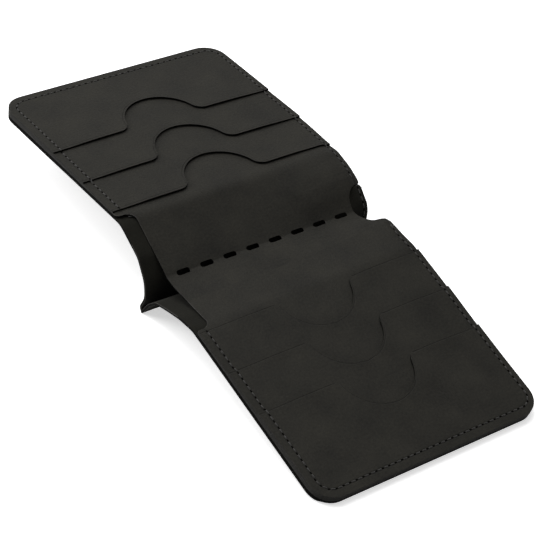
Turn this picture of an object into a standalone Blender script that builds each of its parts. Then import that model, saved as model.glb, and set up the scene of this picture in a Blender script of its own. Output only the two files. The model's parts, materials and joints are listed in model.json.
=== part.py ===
"""An open bifold wallet in soft leather, lying face up.

+X runs along the spine to the right, +Y across the spine to the far half, +Z up. The far half, the near
half, the two strips of liner between them and the four panels of the loose shell fold are flat leather
cut from patterns, so each is an outline with a thickness, laid in the frame of its own body. Every frame
is an empty on its hinge's axis: its Y lies in the leather and its Z is the leather's upper side.
"""
import math

import bpy
from mathutils import Matrix, Vector

# Driving dimensions, in metres and degrees.
WIDTH = 0.097                    # along the spine: a bank card between the two side seams
FAR_LENGTH = 0.082               # liner hinge to outer edge, far half
NEAR_LENGTH = 0.0782             # liner hinge to outer edge, near half
FAR_SLOPE = -4.6                 # the far half droops away from the spine
NEAR_SLOPE = 11.2                # the near half rises towards the spine
FAR_STRIP = 0.0252               # liner between the spine fold and the far half
NEAR_STRIP = 0.0259              # liner between the spine fold and the near half
FAR_STRIP_SLOPE = 25.9
NEAR_STRIP_SLOPE = -0.3
CREASE = (0.0036, 0.0)           # Y from the spine fold, Z: the loose shell's lowest line
FAR_KNEE = (0.0082, 0.0186)      # where the far side of the shell fold turns down
NEAR_KNEE = (-0.0040, 0.0115)    # and the near side

SHELL = 0.0009                   # leather thicknesses
LINING = 0.00035
LINER = 0.0006
POCKET = 0.00055
LAYER_GAP = 0.00015              # between layers that are sewn together
HINGE_GAP = 0.00035              # from a hinge's axis to the cut edge beside it

FAR_MOUTHS = (0.0045, 0.0237, 0.0440)    # pocket mouths, from the liner hinge: inner, middle, outer
NEAR_MOUTHS = (0.0025, 0.0210, 0.0395)
THUMB_RADIUS = 0.015             # half round cut in each mouth
THUMB_FILLET = 0.005
CORNER_RADIUS = 0.0085           # outer corners
SLOT_COUNT = 8                   # pill shaped slots on the spine fold
SLOT_PITCH = 0.010
SLOT_LENGTH = 0.0055
SLOT_WIDTH = 0.0020
NOTCH_DEPTH = 0.0065             # the liner is cut back this far at both ends of the spine
RIGHT_NOTCH_FAR = 0.009          # reach of the right notch from the spine fold
RIGHT_NOTCH_NEAR = 0.0125
LEFT_NOTCH_FAR = 0.0030          # reach of the left notch past the liner hinge
LEFT_NOTCH_NEAR = 0.0014
SHELL_INSET = 0.0018             # the shell's left edge stands back beside the spine
SHELL_TAPER = (0.030, 0.060)     # and comes out again between these distances
LINING_MARGIN = 0.0045           # the lining stops short of the border seam
SEAM_INSET = 0.0032
SEAM_CORNER = 0.0055
THREAD_RADIUS = 0.00018
THREAD_GAP = 0.00008
CREASE_CLEARANCE = 0.0030        # the near side of the crease stops short of the far side
CREASE_GAP = 0.00002             # the far side reaches all but to the crease line

# Worked out from the driving dimensions.
LINER_TOP = SHELL + LAYER_GAP + LINING + LAYER_GAP + LINER
POCKET_STEP = POCKET + LAYER_GAP
STACK = LINER_TOP + 3 * POCKET_STEP
HALF_WIDTH = WIDTH / 2
ARC_STEP = math.radians(15)

COLLECTION = "bifold_wallet"


def along(slope, distance):
    """Y and Z of a distance walked at a slope in degrees."""
    angle = math.radians(slope)
    return distance * math.cos(angle), distance * math.sin(angle)


def offset(point, slope, forward, up):
    """A point of the side profile, moved forward along a slope and up across it."""
    ahead = along(slope, forward)
    above = along(slope + 90, up)
    return point[0] + ahead[0] + above[0], point[1] + ahead[1] + above[1]


def slope_between(start, end):
    return math.degrees(math.atan2(end[1] - start[1], end[0] - start[0]))


def length_between(start, end):
    return math.hypot(end[0] - start[0], end[1] - start[1])


# The side profile: hinge lines as (Y, Z). The spine fold's height puts the near half's edge on Z = 0.
FOLD_HEIGHT = (along(NEAR_SLOPE, NEAR_LENGTH)[1] + along(NEAR_SLOPE + 90, LINER_TOP)[1]
               + along(NEAR_STRIP_SLOPE, NEAR_STRIP)[1])
FOLD = (0.0, FOLD_HEIGHT)
FAR_HINGE = offset(FOLD, FAR_STRIP_SLOPE, FAR_STRIP, 0)
NEAR_HINGE = offset(FOLD, NEAR_STRIP_SLOPE, -NEAR_STRIP, 0)
FAR_SHELL_HINGE = offset(FAR_HINGE, FAR_SLOPE, 0, -LINER_TOP)
NEAR_SHELL_HINGE = offset(NEAR_HINGE, NEAR_SLOPE, 0, -LINER_TOP)
FAR_END = offset(FAR_SHELL_HINGE, FAR_SLOPE, FAR_LENGTH, STACK)
NEAR_END = offset(NEAR_SHELL_HINGE, NEAR_SLOPE, -NEAR_LENGTH, STACK)
MIDDLE = (FAR_END[0] + NEAR_END[0]) / 2


def clear_scene():
    for old in list(bpy.data.objects):
        bpy.data.objects.remove(old, do_unlink=True)


def make_collection():
    collection = bpy.data.collections.new(COLLECTION)
    bpy.context.scene.collection.children.link(collection)
    return collection


def make_material(name, colour, roughness):
    material = bpy.data.materials.new(name)
    material.use_nodes = True
    shader = material.node_tree.nodes["Principled BSDF"]
    shader.inputs["Base Color"].default_value = (*colour, 1.0)
    shader.inputs["Roughness"].default_value = roughness
    shader.inputs["Metallic"].default_value = 0.0
    return material


def body_frame(name, point, slope, parent):
    """An empty on a hinge's axis, turned so that its Y lies in the leather."""
    empty = bpy.data.objects.new(name, None)
    empty.empty_display_size = 0.01
    collection.objects.link(empty)
    place = Matrix.Translation((0, point[0] - MIDDLE, point[1]))
    place = place @ Matrix.Rotation(math.radians(slope), 4, "X")
    if parent:
        empty.parent = parent
        empty.matrix_parent_inverse = parent.matrix_world.inverted()
    empty.matrix_world = place
    bpy.context.view_layer.update()
    return empty


def arc(centre, radius, start, turn):
    """Points on an arc, angles in radians, both ends included."""
    steps = max(1, round(abs(turn) / ARC_STEP))
    angles = [start + turn * i / steps for i in range(steps + 1)]
    return [(centre[0] + radius * math.cos(a), centre[1] + radius * math.sin(a)) for a in angles]


def rounded(corners):
    """An outline through (x, y, radius) corners, each rounded by a tangent arc."""
    points = []
    for i, (x, y, radius) in enumerate(corners):
        here = Vector((x, y))
        if not radius:
            points.append((x, y))
            continue
        back = (Vector(corners[i - 1][:2]) - here).normalized()
        ahead = (Vector(corners[(i + 1) % len(corners)][:2]) - here).normalized()
        half_angle = back.angle(ahead) / 2
        centre = here + (back + ahead).normalized() * radius / math.sin(half_angle)
        first = here + back * radius / math.tan(half_angle) - centre
        last = here + ahead * radius / math.tan(half_angle) - centre
        start = math.atan2(first.y, first.x)
        turn = math.atan2(first.x * last.y - first.y * last.x, first.dot(last))
        points += arc(centre, radius, start, turn)
    return points


def thumb_cut(mouth):
    """The mouth edge's half round cut, from left to right, with its two rounded shoulders."""
    reach = math.sqrt((THUMB_RADIUS + THUMB_FILLET) ** 2 - THUMB_FILLET ** 2)
    lean = math.atan2(THUMB_FILLET, reach)
    left = arc((-reach, mouth + THUMB_FILLET), THUMB_FILLET, -math.pi / 2, math.pi / 2 - lean)
    bowl = arc((0, mouth), THUMB_RADIUS, math.pi - lean, -(math.pi - 2 * lean))
    right = arc((reach, mouth + THUMB_FILLET), THUMB_FILLET, math.pi + lean, math.pi / 2 - lean)
    return left + bowl[1:-1] + right


def half_slots(edge):
    """The spine edge of a liner strip, from left to right, with half of each slot cut into it."""
    radius = SLOT_WIDTH / 2
    start = math.asin(edge / radius)
    points = []
    for i in range(SLOT_COUNT):
        x = (i - (SLOT_COUNT - 1) / 2) * SLOT_PITCH
        reach = SLOT_LENGTH / 2 - radius
        points += arc((x - reach, 0), radius, math.pi - start, start - math.pi / 2)
        points += arc((x + reach, 0), radius, math.pi / 2, start - math.pi / 2)
    return points


def outer_corners(length, left=0.0, right=0.0):
    """The two rounded corners at a half's outer edge, right then left."""
    return [(HALF_WIDTH - right, length, CORNER_RADIUS), (-HALF_WIDTH + left, length, CORNER_RADIUS)]


def shell_outline(length, inset):
    start, end = SHELL_TAPER
    side = -HALF_WIDTH
    taper = [(side, end, 0.05), (side + inset, start, 0.05)] if inset else []
    return rounded([(side + inset, HINGE_GAP, 0), (HALF_WIDTH, HINGE_GAP, 0)]
                   + outer_corners(length) + taper)


def lining_outline(length):
    reach = HALF_WIDTH - LINING_MARGIN
    end = length - LINING_MARGIN
    return rounded([(-reach, 0.001, 0), (reach, 0.001, 0), (reach, end, 0.005), (-reach, end, 0.005)])


def liner_outline(length, notch):
    side = -HALF_WIDTH
    inner = side + NOTCH_DEPTH
    round_in = (notch - HINGE_GAP) * 0.9
    return rounded([(inner, HINGE_GAP, 0), (HALF_WIDTH, HINGE_GAP, 0)] + outer_corners(length)
                   + [(side, notch, 0.0012), (inner, notch, round_in)])


def pocket_outline(length, mouth):
    corners = rounded([(HALF_WIDTH, mouth, 0)] + outer_corners(length) + [(-HALF_WIDTH, mouth, 0)])
    return corners + thumb_cut(mouth)


def strip_outline(length, right_notch):
    """A liner strip: the slotted fold edge, the right notch beside it and the full width at its hinge."""
    side = HALF_WIDTH - NOTCH_DEPTH
    edge = length - HINGE_GAP
    corners = rounded([(side, HINGE_GAP, 0), (side, right_notch, 0.0025),
                       (HALF_WIDTH, right_notch, 0.0025), (HALF_WIDTH, edge, 0), (-side, edge, 0),
                       (-side, HINGE_GAP, 0)])
    return corners + half_slots(HINGE_GAP)


def mirrored(outline):
    return [(x, -y) for x, y in outline]


def shifted(outline, distance):
    return [(x, y + distance) for x, y in outline]


def panel(name, outline, thickness, height, frame, material):
    """A flat piece of leather: an outline whose lower face lies at a height in its frame."""
    curve = bpy.data.curves.new(name, "CURVE")
    curve.dimensions = "2D"
    curve.fill_mode = "BOTH"
    curve.extrude = thickness / 2
    spline = curve.splines.new("POLY")
    spline.points.add(len(outline) - 1)
    for point, (x, y) in zip(spline.points, outline):
        point.co = (x, y, 0, 1)
    spline.use_cyclic_u = True
    curve.materials.append(material)
    piece = bpy.data.objects.new(name, curve)
    collection.objects.link(piece)
    piece.parent = frame
    piece.location = (0, 0, height + thickness / 2)
    return piece


def thread(name, path, frame, material):
    """One continuous sewing thread through a path of (x, y, height)."""
    curve = bpy.data.curves.new(name, "CURVE")
    curve.dimensions = "3D"
    curve.bevel_depth = THREAD_RADIUS
    curve.bevel_resolution = 1
    curve.use_fill_caps = True
    spline = curve.splines.new("POLY")
    spline.points.add(len(path) - 1)
    for point, place in zip(spline.points, path):
        point.co = (*place, 1)
    curve.materials.append(material)
    piece = bpy.data.objects.new(name, curve)
    collection.objects.link(piece)
    piece.parent = frame
    return piece


def stepped(x, start, end, mouths):
    """A seam's points up one side: it climbs a pocket's thickness just before each mouth."""
    rest = THREAD_RADIUS + THREAD_GAP
    level = sum(mouth < start for mouth in mouths)
    path = [(x, start, rest + level * POCKET_STEP)]
    for mouth in mouths:
        if start < mouth < end:
            path.append((x, mouth - 0.0018, rest + level * POCKET_STEP))
            level += 1
            path.append((x, mouth - 0.0004, rest + level * POCKET_STEP))
    return path + [(x, end, rest + level * POCKET_STEP)]


def border_path(length, mouths):
    """Up the right side from the liner hinge, round the outer edge and down to the left corner."""
    reach = HALF_WIDTH - SEAM_INSET
    end = length - SEAM_INSET
    top = THREAD_RADIUS + THREAD_GAP + 3 * POCKET_STEP
    centre = (reach - SEAM_CORNER, end - SEAM_CORNER)
    right = stepped(reach, 0.001, centre[1], mouths)
    turn = [(x, y, top) for x, y in arc(centre, SEAM_CORNER, 0, math.pi / 2)]
    back = [(x, y, top) for x, y in arc((-centre[0], centre[1]), SEAM_CORNER, math.pi / 2, math.pi / 2)]
    return right + turn[1:] + back


def half(side, frame, length, mouths, notch, inset):
    """One half: the shell, its lining, the liner, three stepped card pockets and two seams."""
    turn = mirrored if side == "near" else list
    sign = -1 if side == "near" else 1

    def lay(name, outline, thickness, height):
        panel(f"{side}_{name}", turn(outline), thickness, height - LINER_TOP, frame, LEATHER)

    lay("shell_panel", shell_outline(length, inset), SHELL, 0)
    lay("liner_panel", liner_outline(length, notch), LINER, LINER_TOP - LINER)
    for i, (place, mouth) in enumerate(zip(("inner", "middle", "outer"), mouths)):
        height = LINER_TOP + LAYER_GAP + i * POCKET_STEP
        lay(f"{place}_pocket", pocket_outline(length, mouth), POCKET, height)
    panel(f"{side}_shell_lining", turn(lining_outline(length)), LINING,
          SHELL + LAYER_GAP - LINER_TOP, frame, LINING_CLOTH)
    left = stepped(-HALF_WIDTH + SEAM_INSET, mouths[0] + 0.0006,
                   length - SEAM_INSET - SEAM_CORNER - 0.001, mouths)
    for name, path in (("pocket_seam", left), ("border_seam", border_path(length, mouths))):
        thread(f"{side}_{name}", [(x, sign * y, z) for x, y, z in path], frame, THREAD)


def strip_seam(side, frame, start, end):
    """The border seam's run on down a liner strip, as far as the right notch."""
    reach = HALF_WIDTH - SEAM_INSET
    height = THREAD_RADIUS + THREAD_GAP
    path = [(reach, start, height), (reach, end, height)]
    thread(f"spine_{side}_seam", path, frame, THREAD)


def fold_panel(name, start, end, frame, left=0.0, left_end=0.0, clear=0.0):
    """A panel of the loose shell fold, from its own hinge to the next line of the profile."""
    length = length_between(start, end)
    sign = -1 if name.startswith("shell_fold_far") else 1
    stop = length - (clear or HINGE_GAP)
    corners = [(-HALF_WIDTH + left, HINGE_GAP), (HALF_WIDTH, HINGE_GAP),
               (HALF_WIDTH, stop), (-HALF_WIDTH + left_end, stop)]
    panel(name, [(x, sign * y) for x, y in corners], SHELL, 0, frame, LEATHER)


clear_scene()
collection = make_collection()
LEATHER = make_material("charcoal_leather", (0.026, 0.024, 0.019), 0.62)
LINING_CLOTH = make_material("black_lining", (0.014, 0.013, 0.012), 0.85)
THREAD = make_material("charcoal_thread", (0.020, 0.018, 0.015), 0.7)

# Body frames, in the order they hang on each other: the far half carries the rest.
far_frame = body_frame("far_half_frame", FAR_HINGE, FAR_SLOPE, None)
spine_far_frame = body_frame("spine_far_hinge", FAR_HINGE, FAR_STRIP_SLOPE, far_frame)
spine_near_frame = body_frame("spine_near_hinge", FOLD, NEAR_STRIP_SLOPE, spine_far_frame)
near_frame = body_frame("near_half_hinge", NEAR_HINGE, NEAR_SLOPE, spine_near_frame)
far_upper_frame = body_frame("fold_far_upper_hinge", FAR_SHELL_HINGE,
                             slope_between(FAR_KNEE, FAR_SHELL_HINGE), far_frame)
far_lower_frame = body_frame("fold_far_lower_hinge", FAR_KNEE,
                             slope_between(CREASE, FAR_KNEE), far_upper_frame)
near_upper_frame = body_frame("fold_near_upper_hinge", NEAR_SHELL_HINGE,
                              slope_between(NEAR_SHELL_HINGE, NEAR_KNEE), near_frame)
near_lower_frame = body_frame("fold_near_lower_hinge", NEAR_KNEE,
                              slope_between(NEAR_KNEE, CREASE), near_upper_frame)

half("far", far_frame, FAR_LENGTH, FAR_MOUTHS, LEFT_NOTCH_FAR, SHELL_INSET)
half("near", near_frame, NEAR_LENGTH, NEAR_MOUTHS, LEFT_NOTCH_NEAR, 0.0)

far_strip = shifted(strip_outline(FAR_STRIP, RIGHT_NOTCH_FAR), -FAR_STRIP)
panel("spine_liner_far", far_strip, LINER, -LINER, spine_far_frame, LEATHER)
near_strip = mirrored(strip_outline(NEAR_STRIP, RIGHT_NOTCH_NEAR))
panel("spine_liner_near", near_strip, LINER, -LINER, spine_near_frame, LEATHER)
strip_seam("far", spine_far_frame, RIGHT_NOTCH_FAR + 0.003 - FAR_STRIP, -0.0012)
strip_seam("near", spine_near_frame, -RIGHT_NOTCH_NEAR - 0.003, 0.0012 - NEAR_STRIP)

fold_panel("shell_fold_far_upper", FAR_SHELL_HINGE, FAR_KNEE, far_upper_frame,
           left=SHELL_INSET, left_end=SHELL_INSET)
fold_panel("shell_fold_far_lower", FAR_KNEE, CREASE, far_lower_frame,
           left=SHELL_INSET, clear=CREASE_GAP)
fold_panel("shell_fold_near_upper", NEAR_SHELL_HINGE, NEAR_KNEE, near_upper_frame)
fold_panel("shell_fold_near_lower", NEAR_KNEE, CREASE, near_lower_frame, clear=CREASE_CLEARANCE)
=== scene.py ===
# %% [markdown]
# # An open bifold wallet in soft leather
#
# The wallet lies open, face up. X runs along the spine to the right, Y across the spine to the far half,
# and Z up. A wallet is sewn from flat hides, so every panel here is cut flat in millimetres,
# as on a cutting table, and only then laid over the curved side profile of the open wallet. The packed
# model gives the hinge lines that the profile hangs on.

# %% Load the frame
import json
import math
from types import SimpleNamespace
import bmesh
import bpy
import numpy as np
from mathutils import Euler, Matrix, Vector
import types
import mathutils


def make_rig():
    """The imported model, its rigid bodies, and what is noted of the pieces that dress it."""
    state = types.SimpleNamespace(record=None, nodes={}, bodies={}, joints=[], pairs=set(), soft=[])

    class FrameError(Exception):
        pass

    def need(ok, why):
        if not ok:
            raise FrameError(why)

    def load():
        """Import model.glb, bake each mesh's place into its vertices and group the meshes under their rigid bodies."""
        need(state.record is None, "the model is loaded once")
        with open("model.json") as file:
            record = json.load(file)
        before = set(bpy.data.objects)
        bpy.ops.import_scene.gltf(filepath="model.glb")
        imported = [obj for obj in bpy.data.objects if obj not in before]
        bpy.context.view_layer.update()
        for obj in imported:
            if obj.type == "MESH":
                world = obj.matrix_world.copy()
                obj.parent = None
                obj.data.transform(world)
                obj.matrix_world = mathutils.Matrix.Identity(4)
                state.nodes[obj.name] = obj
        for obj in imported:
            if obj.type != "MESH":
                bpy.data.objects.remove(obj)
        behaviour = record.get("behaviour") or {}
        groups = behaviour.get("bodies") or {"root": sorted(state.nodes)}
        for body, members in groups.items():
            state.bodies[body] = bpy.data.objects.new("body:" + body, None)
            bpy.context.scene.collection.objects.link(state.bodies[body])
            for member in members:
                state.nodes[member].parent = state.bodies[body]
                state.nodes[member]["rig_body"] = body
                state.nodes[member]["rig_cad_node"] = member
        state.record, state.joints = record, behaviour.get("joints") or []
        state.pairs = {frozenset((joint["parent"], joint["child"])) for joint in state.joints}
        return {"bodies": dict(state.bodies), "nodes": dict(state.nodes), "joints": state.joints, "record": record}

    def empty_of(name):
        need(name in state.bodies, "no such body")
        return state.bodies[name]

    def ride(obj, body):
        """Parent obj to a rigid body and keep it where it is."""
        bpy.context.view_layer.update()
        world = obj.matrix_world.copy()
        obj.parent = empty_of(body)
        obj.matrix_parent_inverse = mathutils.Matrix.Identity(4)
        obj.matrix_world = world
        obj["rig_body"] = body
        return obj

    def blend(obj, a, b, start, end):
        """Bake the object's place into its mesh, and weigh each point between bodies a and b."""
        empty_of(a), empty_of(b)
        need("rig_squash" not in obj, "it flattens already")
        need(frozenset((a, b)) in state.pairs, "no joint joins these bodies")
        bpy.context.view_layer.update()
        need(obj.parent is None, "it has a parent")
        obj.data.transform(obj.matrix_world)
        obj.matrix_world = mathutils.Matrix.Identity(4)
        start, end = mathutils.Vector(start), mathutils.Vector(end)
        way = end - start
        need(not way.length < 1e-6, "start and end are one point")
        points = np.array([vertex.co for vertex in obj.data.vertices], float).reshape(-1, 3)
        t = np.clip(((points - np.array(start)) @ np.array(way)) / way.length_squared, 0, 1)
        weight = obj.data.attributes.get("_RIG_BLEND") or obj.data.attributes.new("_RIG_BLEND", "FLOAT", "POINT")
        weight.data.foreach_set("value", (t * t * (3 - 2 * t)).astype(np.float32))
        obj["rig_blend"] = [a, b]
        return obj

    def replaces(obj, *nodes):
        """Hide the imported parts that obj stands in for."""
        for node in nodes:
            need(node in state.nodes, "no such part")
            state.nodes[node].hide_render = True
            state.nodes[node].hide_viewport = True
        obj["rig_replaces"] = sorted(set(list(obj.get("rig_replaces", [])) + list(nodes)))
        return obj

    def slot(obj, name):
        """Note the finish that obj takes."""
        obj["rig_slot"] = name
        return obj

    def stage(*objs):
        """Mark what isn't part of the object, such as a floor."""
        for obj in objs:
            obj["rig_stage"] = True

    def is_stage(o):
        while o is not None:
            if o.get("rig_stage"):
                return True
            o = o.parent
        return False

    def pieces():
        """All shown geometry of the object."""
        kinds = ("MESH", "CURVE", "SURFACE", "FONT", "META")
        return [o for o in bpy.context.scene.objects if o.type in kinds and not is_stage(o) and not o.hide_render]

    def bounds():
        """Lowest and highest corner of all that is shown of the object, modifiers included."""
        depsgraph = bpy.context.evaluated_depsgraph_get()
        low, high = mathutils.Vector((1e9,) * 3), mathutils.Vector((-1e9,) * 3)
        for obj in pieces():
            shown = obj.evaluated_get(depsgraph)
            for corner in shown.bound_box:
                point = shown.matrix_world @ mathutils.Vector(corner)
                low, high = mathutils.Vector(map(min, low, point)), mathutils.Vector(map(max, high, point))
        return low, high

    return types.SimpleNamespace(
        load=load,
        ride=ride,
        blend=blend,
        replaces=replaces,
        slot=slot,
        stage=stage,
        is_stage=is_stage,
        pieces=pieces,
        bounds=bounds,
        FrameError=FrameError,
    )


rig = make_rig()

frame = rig.load()
cad_low, cad_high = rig.bounds()
MM = 0.001
joints = {joint["name"]: joint["pos_m"] for joint in frame["joints"]}


def hinge(name):
    """Where a hinge line crosses the side view, as Y and Z in millimetres."""
    place = joints[name]
    return Vector((place[1], place[2])) / MM


FAR_HINGE = hinge("far_liner_hinge")
NEAR_HINGE = hinge("near_liner_hinge")
FOLD = hinge("spine_fold")
FAR_SHELL_HINGE = hinge("far_shell_hinge")
NEAR_SHELL_HINGE = hinge("near_shell_hinge")
print("hinge lines:", FAR_HINGE, FOLD, NEAR_HINGE)

# %% [markdown]
# ## Sizes
#
# These are the pattern's own sizes, in millimetres. The leather is thin: the card pockets are skived to
# about two thirds of a millimetre, and the outside shell is the thickest hide.

# %% The pattern's sizes
HALF_WIDTH = 48.5
FAR_LENGTH = 82.0
NEAR_LENGTH = 78.2
SHELL = 0.9
LINING = 0.35
LINER = 0.6
POCKET = 0.68
POCKET_STEP = 0.70
FAR_MOUTHS = (4.5, 23.7, 44.0)
NEAR_MOUTHS = (2.5, 21.0, 39.5)
CORNER = 8.5
THUMB = 15.0
THUMB_FILLET = 5.0
SEAM_INSET = 3.2
RIGHT_SEAM_SHIFT = 0.9
LINING_INSET = 4.6
print("the liner's face is", round((FAR_HINGE - FAR_SHELL_HINGE).length, 2), "mm above the shell's outside")

# %% [markdown]
# ## The side profile
#
# Seen from the side, the open wallet is two lines. The upper one is the liner: it rises from the near half,
# dips at the spine fold and runs down the far half. The lower one is the shell, which drops away from the
# liner at the spine and hangs as a loose fold. Soft leather turns no sharp corners, so each line is a row of
# corners that are rounded with tangent arcs and then walked in small equal steps.

# %% Walk a rounded line
ARC_STEPS = 12


def unit(vector):
    return vector / vector.length


def walk_lengths(line):
    """The distance walked along a line to each of its points."""
    return np.concatenate([[0], np.cumsum(np.hypot(*np.diff(line, axis=0).T))])


def resampled(line, count):
    """The same line with its points evenly spaced."""
    lengths = walk_lengths(line)
    even = np.linspace(0, lengths[-1], count)
    return np.column_stack([np.interp(even, lengths, line[:, 0]), np.interp(even, lengths, line[:, 1])])


def rounded(corners, step=0.25):
    """Points along a line through (y, z, radius) corners, with every corner turned on an arc."""
    points = [Vector(corners[0][:2])]
    for before, here, after in zip(corners, corners[1:], corners[2:]):
        place = Vector(here[:2])
        back = unit(Vector(before[:2]) - place)
        ahead = unit(Vector(after[:2]) - place)
        half_angle = back.angle(ahead) / 2
        reach = here[2] / math.tan(half_angle)
        centre = place + unit(back + ahead) * here[2] / math.sin(half_angle)
        first = place + back * reach - centre
        last = place + ahead * reach - centre
        turn = math.atan2(first.x * last.y - first.y * last.x, first.dot(last))
        for i in range(ARC_STEPS + 1):
            points.append(centre + Matrix.Rotation(turn * i / ARC_STEPS, 2) @ first)
    points.append(Vector(corners[-1][:2]))
    line = np.array(points)
    return resampled(line, max(2, int(walk_lengths(line)[-1] / step)))


print("a square corner turned on an arc:", len(rounded([(0, 0, 0), (9, 0, 3), (9, 9, 0)])), "points")

# %% [markdown]
# The two halves are flat, so their directions come from the hinge lines: the liner hinge sits straight
# above the shell hinge, across the leather. Far from the spine both lines simply carry on along the half.

# %% The liner's line
def square_to(upper, lower):
    """The direction along a half, towards +Y, from its two hinge lines."""
    across = unit(upper - lower)
    return Vector((across.y, -across.x))


FAR_WAY = square_to(FAR_HINGE, FAR_SHELL_HINGE)
NEAR_WAY = square_to(NEAR_HINGE, NEAR_SHELL_HINGE)


def corner(point, radius=0.0):
    return point.x, point.y, radius


NEAR_RUN = 90.0
FAR_RUN = 95.0
liner_line = rounded([
    corner(NEAR_HINGE - NEAR_WAY * NEAR_RUN),
    corner(NEAR_HINGE, 12),
    corner(FOLD, 2.0),
    corner(FAR_HINGE, 8),
    corner(FAR_HINGE + FAR_WAY * FAR_RUN),
])
liner_walk = walk_lengths(liner_line)


def nearest(line, lengths, point):
    return lengths[np.argmin(np.hypot(line[:, 0] - point.x, line[:, 1] - point.y))]


liner_walk -= nearest(liner_line, liner_walk, FOLD)
FAR_START = nearest(liner_line, liner_walk, FAR_HINGE)
NEAR_START = -nearest(liner_line, liner_walk, NEAR_HINGE)
print("from the fold to the liner hinges:", round(FAR_START, 2), round(NEAR_START, 2))

# %% [markdown]
# The shell's fold hangs lowest at the left, where the crease touches the table, and hangs closer to the
# liner at the right. So it has a left line and a right line, and the leather between is a straight blend of
# the two. Distances are counted from the crease.

# %% The shell's two lines
def from_fold(*points):
    return [(FOLD.x + y, z, radius) for y, z, radius in points]


FLAT_REACH = 14.0
SHELL_RUN = 95.0
STEPS = 160
SOFTENING = 5
near_flat = corner(NEAR_SHELL_HINGE - NEAR_WAY * FLAT_REACH)
far_flat = corner(FAR_SHELL_HINGE + FAR_WAY * FLAT_REACH)


def far_side(radius, *points):
    """The fold's far side, from the crease to the flat of the far half."""
    return rounded(from_fold(*points) + [corner(FAR_SHELL_HINGE, radius), far_flat])


def near_side(*points):
    """The fold's near side, from the flat of the near half to the crease."""
    return rounded([near_flat, corner(NEAR_SHELL_HINGE, 8)] + from_fold(*points))


left_far = far_side(8, (3.0, 0.05, 0), (4.75, 2.4, 1.6), (2.9, 7.5, 6), (4.4, 13.4, 9), (10.5, 20.9, 9))
left_near = near_side((-18.3, 14.4, 8), (-11.0, 12.4, 8), (-4.2, 10.2, 4), (-0.6, 6.5, 5), (1.6, 2.6, 4),
                      (3.0, 0.05, 0))
right_far = far_side(9, (2.0, 1.2, 0), (3.3, 3.6, 1.6), (0.5, 9.0, 5), (0.9, 15.3, 6), (3.1, 19.3, 6),
                     (7.6, 22.9, 6))
right_near = near_side((-15.5, 14.4, 8), (-9.0, 12.3, 6), (-4.2, 9.4, 4), (-1.4, 6.2, 4), (0.8, 3.4, 3),
                       (2.0, 1.2, 0))
far_fold_length = walk_lengths(left_far)[-1]
near_fold_length = walk_lengths(left_near)[-1]
FAR_SHELL_START = far_fold_length - FLAT_REACH
NEAR_SHELL_START = near_fold_length - FLAT_REACH


def whole_shell(near_part, far_part):
    """One side's whole shell line, with its crease softened: each point moves between its neighbours."""
    near_end = np.array(NEAR_SHELL_HINGE - NEAR_WAY * SHELL_RUN)
    far_end = np.array(FAR_SHELL_HINGE + FAR_WAY * SHELL_RUN)
    line = np.vstack([near_end, resampled(near_part, STEPS), resampled(far_part, STEPS)[1:], far_end])
    for _ in range(SOFTENING):
        line[2:-2] = (line[1:-3] + 2 * line[2:-2] + line[3:-1]) / 4
    return line


shell_walk = np.concatenate([
    [-near_fold_length - SHELL_RUN + FLAT_REACH],
    np.linspace(-near_fold_length, 0, STEPS),
    np.linspace(0, far_fold_length, STEPS)[1:],
    [far_fold_length + SHELL_RUN - FLAT_REACH],
])
shell_left = whole_shell(left_near, left_far)
shell_right = whole_shell(right_near, right_far)
print("shell hinges from the crease:", round(FAR_SHELL_START, 2), round(NEAR_SHELL_START, 2))

# %% [markdown]
# The far and the near half are made alike, with their own lengths and mouths. What differs is kept together
# here, so that one function can cut the pieces of both.

# %% The two halves
FAR = SimpleNamespace(name="far", side=1, start=FAR_START, shell_start=FAR_SHELL_START,
                      length=FAR_LENGTH, mouths=FAR_MOUTHS, mouth_lift=0.28)
NEAR = SimpleNamespace(name="near", side=-1, start=NEAR_START, shell_start=NEAR_SHELL_START,
                       length=NEAR_LENGTH, mouths=NEAR_MOUTHS, mouth_lift=0.50)
HALVES = (FAR, NEAR)
for half in HALVES:
    print(half.name, "half reaches", round(half.start + half.length, 1), "mm from the fold")

# %% [markdown]
# ## The hand of the leather
#
# Nothing soft is quite flat. The pockets crown a little between their seams, the near strip dips at the left
# and swells at the right, and the shell is pinched up against the liner where the border seam holds it. All
# the layers of a half share the same swell, so they stay closed on each other. Each function takes arrays
# and gives millimetres.

# %% The swells
FAR_CROWN = 0.40
NEAR_CROWN = 0.30
LIP = 1.1
PINCH = 0.55
RIGHT_SWELL = np.array([
    (-80, 0), (-66, 0.3), (-47.5, 1.1), (-28.7, 1.8), (-18, 2.4), (-11.4, 2.8), (-8, 2.5), (-5, 1.3),
    (-2, 0.3), (0, 0.3), (3, 0.9), (6, 2.1), (9, 3.0), (12, 3.3), (16, 3.1), (20, 2.1), (25, 0.7),
    (31, -0.1), (38, 0),
])
LEFT_DIP = np.array([(-30, 0), (-24, 0.7), (-18, 0.9), (-6, 1.0), (-3, 0.9), (1, 0), (2, 0)])


def ease(value, start, end):
    """0 before start, 1 after end, and smooth between."""
    t = np.clip((np.asarray(value, float) - start) / (end - start), 0, 1)
    return t * t * (3 - 2 * t)


def crown(x, reach, length):
    """A half's gentle crown: nothing along its borders, most in its middle."""
    across = np.clip(1 - (np.abs(x) / (HALF_WIDTH - 3)) ** 2, 0, 1)
    along = np.clip(reach / length, 0, 1)
    return across * np.sin(np.pi * along)


def soft_curve(table, s):
    """A smooth curve through a short table: a straight reading, averaged over a few millimetres."""
    return sum(np.interp(s + shift, table[:, 0], table[:, 1]) for shift in (-2, -1, 0, 1, 2)) / 5


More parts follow.
